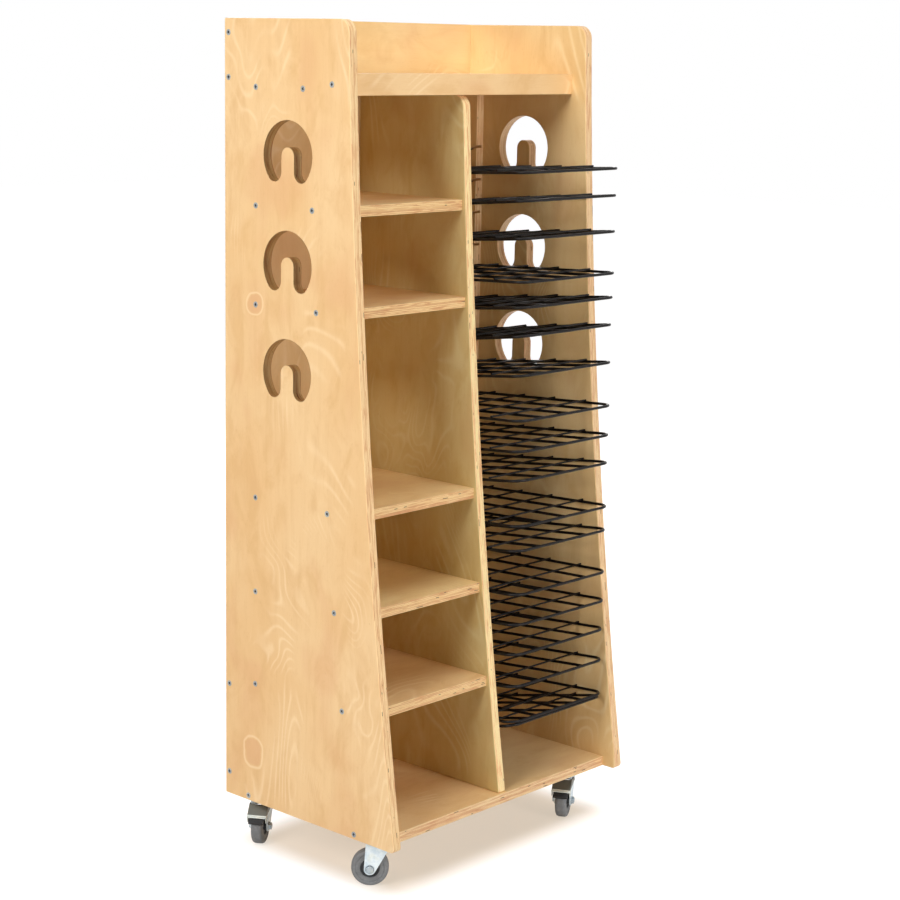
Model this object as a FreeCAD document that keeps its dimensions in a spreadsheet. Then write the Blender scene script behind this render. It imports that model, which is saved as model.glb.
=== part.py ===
import FreeCAD, Part
import math
import os

# Mobile drying rack: plywood carcass on four swivel casters, shelves on the left,
# hinged wire racks on the right. X runs left to right, Y front to back, Z up.
# The origin is on the floor, at the middle of the plan outline. Sizes are in mm.

SIZES = {
    # carcass
    "ply": 18,
    "width": 608,
    "panel_height": 1350,
    "caster_height": 86,
    "plan_depth": 414.2,
    "depth_foot": 415.5,
    "depth_middle": 333.1,
    "depth_head": 291.6,
    "head_corner": 22,
    "foot_corner": 8,
    "divider_corner": 3,
    "arris": 2,
    "left_bay": 284,
    "divider_setback": 33,
    "bottom_setback": 31.5,
    "shelf_setback": 40,
    "shelf_low": 217.5,
    "shelf_pitch": 165.5,
    "top_shelf_under": 1230,
    "rail_height": 35,
    "rail_setback": 32,
    "back_board_height": 209,
    "back_thick": 6,
    # horseshoe hand-holds
    "hold_radius": 58,
    "hold_from_back": 153,
    "hold_top": 1130,
    "hold_pitch": 179.5,
    "tongue_width": 30,
    "tongue_rise": 14,
    "hold_floor": 43,
    # slotted battens
    "batten_width": 18,
    "batten_depth": 36,
    "kerf_pitch": 60.5,
    "kerf_top": 1121,
    "kerf_depth": 14,
    "kerf_slope": 18.5,
    "pin_play": 0.3,
    "pin_from_front": 20,
    # wire racks
    "rod_radius": 2.5,
    "wire_radius": 1.75,
    "weld_sink": 0.5,
    "rack_side_play": 4,
    "rack_front": 388,
    "rack_corner": 25,
    "rack_rear_corner": 8,
    "cross_spacing": 73,
    "cross_first": 66,
    "pin_over_rack": 33,
    "hook_radius": 2,
    "hook_bend": 5,
    "hook_side_play": 2,
    "stop_gap": 0.3,
    "raised_turn": 8.85,
    # screws
    "screw_head": 4,
    "screw_shank": 2.1,
    "screw_length": 40,
    "screw_sink": 0.3,
    "screw_rim": 0.4,
    "screw_play": 0.05,
    "drive_reach": 4.4,
    "drive_width": 1.1,
    "drive_depth": 1.4,
    "row_from_back": 76,
    "row_from_front": 94.5,
    "tray_row": 188,
    "foot_row": 58.7,
    "edge_inset": 23.5,
    "divider_foot_row": 100,
    "divider_foot_pitch": 150,
    "divider_head_row": 80,
    "divider_head_pitch": 120,
    "header_pitch": 200,
    # casters
    "caster_from_left": 47,
    "caster_from_right": 75,
    "caster_from_front": 70.5,
    "caster_from_back": 47,
    "plate_side": 56,
    "plate_thick": 3,
    "plate_screw_offset": 20,
    "plate_screw_length": 13,
    "plate_screw_shank": 2.2,
    "pan_radius": 4.6,
    "pan_thick": 2.4,
    "trail": 22,
    "wheel_radius": 32,
    "tread_width": 20,
    "hub_radius": 16.5,
    "axle_radius": 4,
    "pivot_radius": 2,
    "pedal_thick": 1.4,
    "pedal_play": 0.4,
    "pad_width": 27,
    "fork_gap": 26,
    "fork_thick": 2.5,
    "fork_top": 78,
    "run_gap": 0.3,
    "bearing_play": 0.05,
}

# Slope of each rack's grille in degrees, from the top rack down.
RACK_SLOPES = (3.0, 5.3, 4.8, 2.5, 5.5, 7.5, 6.2, 3.1, 4.3,
               5.9, 2.4, 5.3, 2.2, 3.3, 4.4, 4.8, 4.1, 4.1)

# Left shelves, counted in pitches up from the lowest; the third place up is left out.
SHELF_PLACES = (("shelf_1", 5), ("shelf_2", 4), ("shelf_3", 2), ("shelf_4", 1), ("shelf_5", 0))

# Which way each caster's wheel trails, in degrees from +X towards +Y.
CASTERS = {"front_left": 132.2, "rear_left": 212.5, "front_right": 208.0, "rear_right": 150.0}
BRAKED = ("rear_left", "front_right")

vec = FreeCAD.Vector
doc = FreeCAD.newDocument("DryingRack")
sheet = doc.addObject("Spreadsheet::Sheet", "Dims")
for line, (word, number) in enumerate(SIZES.items(), 1):
    sheet.set("A%d" % line, word)
    sheet.set("B%d" % line, str(number))
    sheet.setAlias("B%d" % line, word)
doc.recompute()


def dim(word):
    return float(sheet.get(word))


def driven(text):
    """Turn a sum of size names into an expression on the sheet."""
    words = [("Dims." + part if part in SIZES else part) for part in text.split()]
    return " ".join(words)


def x_at(from_left):
    return from_left - dim("width") / 2


def y_at(from_back):
    return dim("plan_depth") / 2 - from_back


def z_at(height):
    return dim("caster_height") + height


# ---------------------------------------------------------------- carcass outline

def profile_arc():
    """Centre and radius, in (depth, height), of the arc that the panels' fronts follow."""
    foot = (dim("depth_foot"), 0.0)
    middle = (dim("depth_middle"), dim("panel_height") / 2)
    head = (dim("depth_head"), dim("panel_height"))
    ring = Part.Circle(vec(foot[0], foot[1], 0), vec(middle[0], middle[1], 0),
                       vec(head[0], head[1], 0))
    return ring.Center.x, ring.Center.y, ring.Radius


ARC_X, ARC_Z, ARC_R = profile_arc()


def depth_at(height):
    """Depth of the side panels at a height above their foot; the arc may bow in or out."""
    bow = math.copysign(1, ARC_X - dim("depth_middle"))
    return ARC_X - bow * math.sqrt(ARC_R ** 2 - (height - ARC_Z) ** 2)


def upright_face(low, high, setback, back):
    """Outline of an upright board in the YZ plane."""
    halfway = (low + high) / 2
    back_high = vec(0, y_at(back), z_at(high))
    back_low = vec(0, y_at(back), z_at(low))
    front_low = vec(0, y_at(depth_at(low) - setback), z_at(low))
    front_mid = vec(0, y_at(depth_at(halfway) - setback), z_at(halfway))
    front_high = vec(0, y_at(depth_at(high) - setback), z_at(high))
    edges = [
        Part.makeLine(back_high, back_low),
        Part.makeLine(back_low, front_low),
        Part.Arc(front_low, front_mid, front_high).toShape(),
        Part.makeLine(front_high, back_high),
    ]
    return Part.Face(Part.Wire(edges))


def edges_at(shape, y, z):
    """Edges that run along X through one point of the YZ plane."""
    found = []
    for edge in shape.Edges:
        middle = edge.BoundBox.Center
        if edge.BoundBox.XLength > 1 and abs(middle.y - y) < 0.01 and abs(middle.z - z) < 0.01:
            found.append(edge)
    return found


def front_edges(body):
    """The two long curved edges of an upright board's front."""
    return [edge for edge in body.Edges
            if edge.BoundBox.XLength < 0.01 and isinstance(edge.Curve, Part.Circle)
            and edge.BoundBox.ZLength > dim("panel_height") / 2]


def upright(left, low, high, setback, foot_round, back):
    """Upright board with rounded corners; its arrises are eased from the back edge right round."""
    face = upright_face(low, high, setback, back)
    face.translate(vec(x_at(left), 0, 0))
    body = face.extrude(vec(dim("ply"), 0, 0))
    head = edges_at(body, y_at(depth_at(high) - setback), z_at(high))
    body = body.makeFillet(dim("head_corner"), head)
    foot = edges_at(body, y_at(depth_at(low) - setback), z_at(low))
    body = body.makeFillet(foot_round, foot)
    return body.makeFillet(dim("arris"), front_edges(body))


# ---------------------------------------------------------------- hand-holds

def hold_heights():
    return [dim("hold_top") - step * dim("hold_pitch") for step in range(3)]


def hold_tool(left, height):
    """Horseshoe hole: a round hole with a round-topped tongue standing up in it."""
    radius = dim("hold_radius")
    half = dim("tongue_width") / 2
    floor = dim("hold_floor")
    spread = half - floor + radius
    lobe = math.sqrt(spread ** 2 - (half ** 2 + floor ** 2 - radius ** 2)) - spread
    centre_y = y_at(dim("hold_from_back"))
    centre_z = z_at(height)
    reach = radius / (radius - lobe)
    lobe_y = half + lobe
    lobe_z = lobe - floor
    shoulder = dim("tongue_rise") - half

    def point(across, up):
        return vec(x_at(left) - 1, centre_y + across, centre_z + up)

    def lobe_low(side):
        lean = math.atan2(lobe_z, lobe_y) / 2 - math.pi / 2
        return point(side * (lobe_y + lobe * math.cos(lean)), lobe_z + lobe * math.sin(lean))

    edges = [
        Part.Arc(point(-half, shoulder), point(0, shoulder + half), point(half, shoulder)).toShape(),
        Part.makeLine(point(half, shoulder), point(half, lobe_z)),
        Part.Arc(point(half, lobe_z), lobe_low(1),
                 point(lobe_y * reach, lobe_z * reach)).toShape(),
        Part.Arc(point(lobe_y * reach, lobe_z * reach), point(0, radius),
                 point(-lobe_y * reach, lobe_z * reach)).toShape(),
        Part.Arc(point(-lobe_y * reach, lobe_z * reach), lobe_low(-1),
                 point(-half, lobe_z)).toShape(),
        Part.makeLine(point(-half, lobe_z), point(-half, shoulder)),
    ]
    return Part.Face(Part.Wire(edges)).extrude(vec(dim("ply") + 2, 0, 0))


# ---------------------------------------------------------------- screws

def turned(points):
    """Solid of revolution about Z from (radius, height) points."""
    outline = [vec(radius, 0, height) for radius, height in points]
    face = Part.Face(Part.makePolygon(outline + outline[:1]))
    return face.revolve(vec(0, 0, 0), vec(0, 0, 1), 360)


def drive(start, turn):
    """Cross recess cut up Z from the face of a screw's head, turned about its axis."""
    reach = dim("drive_reach")
    width = dim("drive_width")
    deep = dim("drive_depth") + 1
    slot = Part.makeBox(reach, width, deep, vec(-reach / 2, -width / 2, start - 1))
    cross = Part.makeBox(width, reach, deep, vec(-width / 2, -reach / 2, start - 1))
    recess = slot.fuse(cross)
    recess.rotate(vec(0, 0, 0), vec(0, 0, 1), turn)
    return recess


def screw_outline(length, play):
    sink = dim("screw_sink")
    head = dim("screw_head") + play
    shank = dim("screw_shank") + play
    rim = sink + dim("screw_rim")
    taper = rim + dim("screw_head") - dim("screw_shank")
    return sink, head, shank, rim, taper, length


def wood_screw(length):
    """Countersunk screw with a cross recess; its head is sunk below Z 0, its point is up Z."""
    sink, head, shank, rim, taper, end = screw_outline(length, 0)
    solid = turned([(0, sink), (head, sink), (head, rim), (shank, taper),
                    (shank, end - 2 * shank), (0, end)])
    return solid.cut(drive(sink, 45))


def wood_screw_hole(length):
    sink, head, shank, rim, taper, end = screw_outline(length, dim("screw_play"))
    return turned([(0, -1), (head, -1), (head, rim), (shank, taper), (shank, end), (0, end)])


def aimed(shape, point, direction):
    """Copy of a shape made up Z, turned to a direction and moved to a point."""
    turn = FreeCAD.Rotation(vec(0, 0, 1), direction)
    copy = shape.copy()
    copy.Placement = FreeCAD.Placement(point, turn)
    return copy


RIGHT = vec(1, 0, 0)
LEFT = vec(-1, 0, 0)
FORWARD = vec(0, -1, 0)
UP = vec(0, 0, 1)
DOWN = vec(0, 0, -1)


def shelf_height(place):
    return dim("shelf_low") + place * dim("shelf_pitch")


def end_screw_spots():
    """Depth and height of the screws that both side panels share."""
    half = dim("ply") / 2
    inset = dim("edge_inset")
    tray = dim("top_shelf_under") + half
    rail = depth_at(tray) - dim("rail_setback") - half
    return [
        (half, dim("top_shelf_under") + inset),
        (half, dim("panel_height") - inset),
        (half, dim("ply") + inset),
        (half, dim("ply") + dim("back_board_height") - inset),
        (dim("row_from_back"), tray),
        (dim("tray_row"), tray),
        (rail, dim("top_shelf_under") + dim("rail_height") / 2),
        (dim("foot_row"), half),
        (depth_at(0) - dim("row_from_front"), half),
    ]


def shelf_screw_spots():
    spots = []
    for name, place in SHELF_PLACES:
        height = shelf_height(place)
        spots.append((dim("row_from_back"), height))
        spots.append((depth_at(height) - dim("row_from_front"), height))
    return spots


def carcass_screws():
    """Point and direction of every screw in the carcass."""
    divider_right = dim("ply") + dim("left_bay") + dim("ply")
    divider_middle = divider_right - dim("ply") / 2
    screws = []
    for depth, height in end_screw_spots() + shelf_screw_spots():
        screws.append((vec(x_at(0), y_at(depth), z_at(height)), RIGHT))
    for depth, height in end_screw_spots():
        screws.append((vec(x_at(dim("width")), y_at(depth), z_at(height)), LEFT))
    for depth, height in shelf_screw_spots():
        screws.append((vec(x_at(divider_right), y_at(depth), z_at(height)), LEFT))
    tray = dim("top_shelf_under") + dim("ply")
    for step in range(2):
        depth = dim("divider_foot_row") + step * dim("divider_foot_pitch")
        screws.append((vec(x_at(divider_middle), y_at(depth), z_at(0)), UP))
        depth = dim("divider_head_row") + step * dim("divider_head_pitch")
        screws.append((vec(x_at(divider_middle), y_at(depth), z_at(tray)), DOWN))
    for step in (-1, 0, 1):
        spot = vec(step * dim("header_pitch"), y_at(0), z_at(tray - dim("ply") / 2))
        screws.append((spot, FORWARD))
    height = dim("ply") + dim("back_board_height") / 2
    screws.append((vec(x_at(divider_middle), y_at(0), z_at(height)), FORWARD))
    return screws + back_panel_screws()


def back_panel_screws():
    """Screws through the back panel into the shelves, the divider and both battens."""
    spots = []
    bay_centre = dim("ply") + dim("left_bay") / 2
    divider_centre = dim("ply") * 1.5 + dim("left_bay")
    left_batten_centre = dim("ply") * 2 + dim("left_bay") + dim("batten_width") / 2
    right_batten_centre = dim("width") - dim("ply") - dim("batten_width") / 2
    for name, place in SHELF_PLACES:
        if place > 0:
            spots.append((bay_centre, shelf_height(place)))
            spots.append((divider_centre, shelf_height(place) - dim("shelf_pitch") / 2))
    for step in (1, 5, 9, 13):
        height = dim("kerf_top") - (step + 0.5) * dim("kerf_pitch")
        spots.append((left_batten_centre, height))
        spots.append((right_batten_centre, height))
    depth = dim("ply") - dim("back_thick")
    return [(vec(x_at(across), y_at(depth), z_at(height)), FORWARD) for across, height in spots]


def caster_screw(play):
    """Pan-head screw with its head's top below the caster plate and its point up Z."""
    head = dim("pan_radius")
    under = dim("pan_thick")
    shank = dim("plate_screw_shank") + play
    start = dim("caster_height") - dim("plate_thick")
    end = dim("caster_height") + dim("plate_screw_length") + play
    if play > 0:
        return turned([(0, start), (shank, start), (shank, end), (0, end)])
    solid = turned([(0, start - under), (head * 0.7, start - under), (head, start - under / 2),
                    (head, start), (shank, start), (shank, end - 2 * shank), (0, end)])
    return solid.cut(drive(start - under, 0))


def caster_spot(name):
    """Place on the floor of one swivel axis."""
    left = dim("caster_from_left")
    if name.endswith("right"):
        left = dim("width") - dim("caster_from_right")
    depth = dim("caster_from_back")
    if name.startswith("front"):
        depth = dim("depth_foot") - dim("caster_from_front")
    return x_at(left), y_at(depth)


def caster_screw_spots():
    offset = dim("plate_screw_offset")
    spots = []
    for name in CASTERS:
        across, along = caster_spot(name)
        for dx in (-offset, offset):
            for dy in (-offset, offset):
                spots.append(vec(across + dx, along + dy, 0))
    return spots


def moved(shape, offset):
    copy = shape.copy()
    copy.translate(offset)
    return copy


CARCASS_HOLE = wood_screw_hole(dim("screw_length"))
CASTER_HOLE = caster_screw(dim("screw_play"))
HOLES = [aimed(CARCASS_HOLE, point, way) for point, way in carcass_screws()]
HOLES += [moved(CASTER_HOLE, spot) for spot in caster_screw_spots()]


# ---------------------------------------------------------------- document objects

def place_label(item, name):
    item.Label = name
    return item


def feature(name, shape):
    item = doc.addObject("Part::Feature", name)
    item.Shape = shape
    return place_label(item, name)


def drill(name, blank, extra=()):
    """Cut every screw hole that reaches a blank, and any other tools, out of it."""
    doc.recompute()
    reach = blank.Shape.BoundBox
    tools = [hole for hole in HOLES if reach.intersect(hole.BoundBox)]
    tools = [hole for hole in tools if hole.common(blank.Shape).Volume > 0.01] + list(extra)
    blank.Label = name + "_blank"
    if not tools:
        return place_label(blank, name)
    cutter = feature(name + "_holes", Part.makeCompound(tools))
    cut = doc.addObject("Part::Cut", name)
    cut.Base = blank
    cut.Tool = cutter
    return place_label(cut, name)


def board(name, low, span):
    """Rectangular board from expressions for its left, back and low faces and its sizes."""
    blank = doc.addObject("Part::Box", name + "_blank")
    blank.setExpression("Placement.Base.x", driven("%s - width / 2" % low[0]))
    blank.setExpression("Placement.Base.y", driven("plan_depth / 2 - ( %s ) - ( %s )" % (low[1], span[1])))
    blank.setExpression("Placement.Base.z", driven("caster_height + %s" % low[2]))
    blank.setExpression("Length", driven(span[0]))
    blank.setExpression("Width", driven(span[1]))
    blank.setExpression("Height", driven(span[2]))
    return drill(name, blank)


def make_panels():
    holds = hold_heights()
    for name, left in (("left_side_panel", 0), ("right_side_panel", dim("width") - dim("ply"))):
        panel = upright(left, 0, dim("panel_height"), 0, dim("foot_corner"), 0)
        drill(name, feature(name + "_blank", panel), [hold_tool(left, height) for height in holds])
    divider = upright(dim("ply") + dim("left_bay"), dim("ply"), dim("top_shelf_under"),
                      dim("divider_setback"), dim("divider_corner"), dim("ply"))
    drill("divider_panel", feature("divider_panel_blank", divider))


def make_boards():
    inside = "width - 2 * ply"
    board("bottom_board", ("ply", "0", "0"), (inside, "depth_foot - bottom_setback", "ply"))
    tray = dim("top_shelf_under") + dim("ply") / 2
    rail_front = "%.4f - rail_setback" % depth_at(tray)
    board("top_shelf", ("ply", "ply", "top_shelf_under"),
          (inside, rail_front + " - 2 * ply", "ply"))
    board("top_rail", ("ply", rail_front + " - ply", "top_shelf_under"),
          (inside, "ply", "rail_height"))
    board("header_board", ("ply", "0", "top_shelf_under"),
          (inside, "ply", "panel_height - top_shelf_under"))
    board("lower_back_board", ("ply", "0", "ply"), (inside, "ply", "back_board_height"))
    board("back_panel", ("ply", "ply - back_thick", "ply + back_board_height"),
          (inside, "back_thick", "top_shelf_under - ply - back_board_height"))
    for name, place in SHELF_PLACES:
        front = depth_at(shelf_height(place))
        board(name, ("ply", "ply", "shelf_low + %d * shelf_pitch - ply / 2" % place),
              ("left_bay", "%.4f - shelf_setback - ply" % front, "ply"))


# ---------------------------------------------------------------- slotted battens

def batten_front():
    return dim("ply") + dim("batten_depth")


def pin_depth():
    return batten_front() - dim("pin_from_front")


def kerf_tool(face_x, side, height):
    """Slot that slopes down from the batten's front to the seat of one rack pin."""
    tall = 2 * (dim("hook_radius") + dim("pin_play"))
    reach = dim("pin_from_front") / math.cos(math.radians(dim("kerf_slope"))) + 10
    end = dim("hook_radius") + dim("pin_play")
    low_x = face_x - 1 if side > 0 else face_x - dim("kerf_depth")
    slot = Part.makeBox(dim("kerf_depth") + 1, reach + end, tall, vec(low_x, -reach, -tall / 2))
    slot.rotate(vec(0, 0, 0), vec(1, 0, 0), -dim("kerf_slope"))
    slot.translate(vec(0, y_at(pin_depth()), z_at(height)))
    return slot


def make_battens():
    left_bay_side = "ply + left_bay + ply"
    sides = (("left_batten", left_bay_side, -1), ("right_batten", "width - ply - batten_width", 1))
    inner = {"left_batten": dim("ply") * 2 + dim("left_bay") + dim("batten_width"),
             "right_batten": dim("width") - dim("ply") - dim("batten_width")}
    for name, left, side in sides:
        blank = doc.addObject("Part::Box", name + "_blank")
        blank.setExpression("Placement.Base.x", driven(left + " - width / 2"))
        blank.setExpression("Placement.Base.y", driven("plan_depth / 2 - ply - batten_depth"))
        blank.setExpression("Placement.Base.z", driven("caster_height + ply"))
        blank.setExpression("Length", driven("batten_width"))
        blank.setExpression("Width", driven("batten_depth"))
        blank.setExpression("Height", driven("top_shelf_under - ply"))
        kerfs = [kerf_tool(x_at(inner[name]), side, dim("kerf_top") - step * dim("kerf_pitch"))
                 for step in range(len(RACK_SLOPES))]
        drill(name, blank, kerfs)


# ---------------------------------------------------------------- wire racks

def rod(points, bend, radius):
    """Round bar along straight runs, with a bend of one radius at each inner point."""
    runs = []
    start = points[0]
    for before, corner, after in zip(points, points[1:], points[2:]):
        way_in = (corner - before).normalize()
        way_out = (after - corner).normalize()
        angle = way_in.getAngle(way_out)
        setback = bend * math.tan(angle / 2)
        first = corner - way_in * setback
        last = corner + way_out * setback
        bisector = (way_out - way_in).normalize()
        middle = corner + bisector * (bend / math.cos(angle / 2) - bend)
        runs.append(Part.makeLine(start, first))
        runs.append(Part.Arc(first, middle, last).toShape())
        start = last
    runs.append(Part.makeLine(start, points[-1]))
    path = Part.Wire(runs)
    way = (points[1] - points[0]).normalize()
    ring = Part.Wire(Part.makeCircle(radius, points[0], way))
    return path.makePipeShell([ring], True, False)


def frame_loop(half, length):
    """Outer rod of a grille, as a closed loop in the XY plane from its rear rail to -Y."""
    front = dim("rack_corner")
    rear = dim("rack_rear_corner")
    radius = dim("rod_radius")
    sweep = [
        (vec(-half + rear, 0, 0), None, vec(half - rear, 0, 0)),
        (vec(half - rear, 0, 0), vec(half - rear, -rear, 0), vec(half, -rear, 0)),
        (vec(half, -rear, 0), None, vec(half, -length + front, 0)),
        (vec(half, -length + front, 0), vec(half - front, -length + front, 0),
         vec(half - front, -length, 0)),
        (vec(half - front, -length, 0), None, vec(-half + front, -length, 0)),
        (vec(-half + front, -length, 0), vec(-half + front, -length + front, 0),
         vec(-half, -length + front, 0)),
        (vec(-half, -length + front, 0), None, vec(-half, -rear, 0)),
        (vec(-half, -rear, 0), vec(-half + rear, -rear, 0), vec(-half + rear, 0, 0)),
    ]
    edges = []
    for first, centre, last in sweep:
        if centre is None:
            edges.append(Part.makeLine(first, last))
        else:
            out = (first - centre).normalize() + (last - centre).normalize()
            middle = centre + out.normalize() * (first - centre).Length
            edges.append(Part.Arc(first, middle, last).toShape())
    ring = Part.Wire(Part.makeCircle(radius, vec(0, 0, 0), vec(1, 0, 0)))
    path = Part.Wire(edges)
    start = edges[0].Vertexes[0].Point
    ring.translate(start)
    return path.makePipeShell([ring], True, False)


def rack_half():
    bay = dim("width") - 3 * dim("ply") - dim("left_bay")
    return bay / 2 - dim("rack_side_play") - dim("rod_radius")


def rear_rail_depth():
    return batten_front() + dim("stop_gap") + dim("rod_radius")


def grille():
    """Flat wire grille; the rear rail's middle is the origin and the front is towards -Y."""
    half = rack_half()
    length = dim("rack_front") - rear_rail_depth()
    lift = dim("rod_radius") + dim("wire_radius") - dim("weld_sink")
    pieces = []
    for place in (-1, 0, 1):
        pieces.append(Part.makeCylinder(dim("rod_radius"), length, vec(place * half / 2, 0, 0),
                                        FORWARD))
    for step in range(4):
        along = -length + dim("cross_first") + step * dim("cross_spacing")
        reach = half + dim("rod_radius") * 0.6
        pieces.append(Part.makeCylinder(dim("wire_radius"), 2 * reach, vec(-reach, along, lift),
                                        RIGHT))
    return frame_loop(half, length).multiFuse(pieces)


def hook(side):
    """Leg that runs back from the rear rail, rises and turns out as a pivot pin."""
    bay = dim("width") - 3 * dim("ply") - dim("left_bay")
    inner = bay / 2 - dim("batten_width")
    across = inner - dim("hook_side_play") - dim("hook_radius")
    back = rear_rail_depth() - pin_depth()
    rise = dim("pin_over_rack")
    tip = inner + dim("kerf_depth") - 1.5
    points = [vec(side * across, 0, 0), vec(side * across, back, 0),
              vec(side * across, back, rise), vec(side * tip, back, rise)]
    return rod(points, dim("hook_bend") - 1, dim("hook_radius"))


def bay_middle():
    return x_at(dim("width") - dim("ply") - (dim("width") - 3 * dim("ply") - dim("left_bay")) / 2)


def make_racks():
    """Racks about their pivot pins; each grille has its own slope from the rear rail."""
    flat = grille()
    rear_rail = vec(0, pin_depth() - rear_rail_depth(), -dim("pin_over_rack"))
    hooks = [moved(hook(side), rear_rail) for side in (-1, 1)]
    for index, slope in enumerate(RACK_SLOPES):
        tilted = aimed(flat, rear_rail, UP)
        tilted.rotate(rear_rail, RIGHT, -slope)
        shape = tilted.multiFuse(hooks)
        turn = dim("raised_turn") if index == len(RACK_SLOPES) - 1 else 0
        height = dim("kerf_top") - index * dim("kerf_pitch")
        rack = feature("wire_rack_%02d" % (index + 1), shape)
        rack.Placement = FreeCAD.Placement(vec(bay_middle(), y_at(pin_depth()), z_at(height)),
                                           FreeCAD.Rotation(vec(1, 0, 0), -turn))


# ---------------------------------------------------------------- casters
# Each caster is made about its swivel axis, with the wheel trailing along +X.

def plate_shape():
    side = dim("plate_side")
    top = dim("caster_height")
    under = top - dim("plate_thick")
    plate = Part.makeBox(side, side, dim("plate_thick"), vec(-side / 2, -side / 2, under))
    corners = [edge for edge in plate.Edges if edge.BoundBox.ZLength > 1]
    plate = plate.makeFillet(6, corners)
    offset = dim("plate_screw_offset")
    for dx in (-offset, offset):
        for dy in (-offset, offset):
            plate = plate.cut(Part.makeCylinder(2.7, 20, vec(dx, dy, top - 10), UP))
    web_under = dim("fork_top") - dim("fork_thick")
    gap = dim("run_gap")
    lip = dim("fork_gap") / 2 - gap
    race = turned([(9, under), (9, web_under - gap - 2.6), (lip - 1.5, web_under - gap - 2.6),
                   (lip, web_under - gap - 1), (lip, web_under - gap), (11, web_under - gap),
                   (11, fork_disc_top() + gap), (14.5, fork_disc_top() + gap), (15.5, under)])
    return plate.fuse(race)


def fork_disc_top():
    return dim("fork_top") + 1.7


def tangent(point, centre, radius, side):
    """Point where a line from a point touches a circle, in (x, z)."""
    away = math.hypot(point[0] - centre[0], point[1] - centre[1])
    base = math.atan2(point[1] - centre[1], point[0] - centre[0])
    angle = base + side * math.acos(radius / away)
    return (centre[0] + radius * math.cos(angle), centre[1] + radius * math.sin(angle))


def upright_strip(points, low, high):
    """Flat plate from (x, z) points, standing between two Y positions."""
    outline = [vec(px, low, pz) for px, pz in points]
    return Part.Face(Part.makePolygon(outline + outline[:1])).extrude(vec(0, high - low, 0))


def fork_leg(low, high):
    end_radius = 10
    centre = (dim("trail"), dim("wheel_radius"))
    front_top = (-15, dim("fork_top"))
    rear_top = (dim("trail") + 7, dim("fork_top"))
    front = tangent(front_top, centre, end_radius, 1)
    rear = tangent(rear_top, centre, end_radius, -1)
    leg = upright_strip([front_top, front, centre, rear, rear_top], low, high)
    return leg.fuse(Part.makeCylinder(end_radius, high - low, vec(centre[0], low, centre[1]),
                                      vec(0, 1, 0)))


def pedal_pivot():
    return (12, dim("fork_top") - dim("fork_thick") - 6)


def fork_shape(braked):
    inner = dim("fork_gap") / 2
    outer = inner + dim("fork_thick")
    top = dim("fork_top")
    web = Part.makeBox(dim("trail") + 22, 2 * outer, dim("fork_thick"),
                       vec(-15, -outer, top - dim("fork_thick")))
    disc = Part.makeCylinder(21, fork_disc_top() - top + 1, vec(0, 0, top - 1), UP)
    body = web.fuse([disc, fork_leg(inner, outer), fork_leg(-outer, -inner)])
    body = body.removeSplitter()
    body = body.cut(Part.makeCylinder(11 + dim("bearing_play"), 20, vec(0, 0, top - 12), UP))
    bores = [(dim("axle_radius"), (dim("trail"), dim("wheel_radius")))]
    if braked:
        bores.append((dim("pivot_radius"), pedal_pivot()))
    for radius, (across, height) in bores:
        body = body.cut(Part.makeCylinder(radius + dim("bearing_play"), 2 * outer + 2,
                                          vec(across, -outer - 1, height), vec(0, 1, 0)))
    return body


def wheel_turned(points):
    """Solid of revolution about the axle from (radius, across) points."""
    centre = vec(dim("trail"), 0, dim("wheel_radius"))
    outline = [centre + vec(radius, across, 0) for radius, across in points]
    face = Part.Face(Part.makePolygon(outline + outline[:1]))
    return face.revolve(centre, vec(0, 1, 0), 360)


def tyre_shape():
    radius = dim("wheel_radius")
    half = dim("tread_width") / 2
    bore = dim("hub_radius") + dim("bearing_play")
    side = [(bore, half - 0.6), (23, half - 0.6), (23.6, half - 1.2), (24.4, half - 1.2),
            (25, half - 0.3), (radius - 3.4, half), (radius - 1.4, half - 1.2),
            (radius - 0.3, half - 3.4), (radius, half - 6)]
    mirror = [(reach, -across) for reach, across in reversed(side)]
    return wheel_turned(side + mirror)


def hub_shape():
    bore = dim("axle_radius") + dim("bearing_play")
    boss = dim("fork_gap") / 2 - dim("run_gap")
    half = dim("tread_width") / 2 - 1.5
    side = [(bore, boss), (8, boss), (8.6, half - 1.5), (14.5, half - 1.5), (14.5, half),
            (dim("hub_radius"), half)]
    mirror = [(reach, -across) for reach, across in reversed(side)]
    return wheel_turned(side + mirror)


def hexagon(across_flats, low, high):
    corner = across_flats / 2 / math.cos(math.radians(30))
    points = []
    for step in range(6):
        angle = math.radians(60 * step + 30)
        points.append((dim("trail") + corner * math.cos(angle),
                       dim("wheel_radius") + corner * math.sin(angle)))
    return upright_strip(points, low, high)


def axle_bolt_shape():
    """Bolt and nut; the nut is a solid of its own."""
    face = dim("fork_gap") / 2 + dim("fork_thick")
    radius = dim("axle_radius")
    head = hexagon(12, -face - 4, -face)
    shank = Part.makeCylinder(radius, 2 * face + 9.5, vec(dim("trail"), -face - 4,
                                                          dim("wheel_radius")), vec(0, 1, 0))
    nut = hexagon(12, face, face + 4.5)
    bore = Part.makeCylinder(radius + dim("bearing_play"), 20,
                             vec(dim("trail"), face - 5, dim("wheel_radius")), vec(0, 1, 0))
    return Part.makeCompound([head.fuse(shank).removeSplitter(), nut.cut(bore)])


PEDAL_HEAD = (32.5, 74)
PEDAL_LIP = (50, 56)


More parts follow.
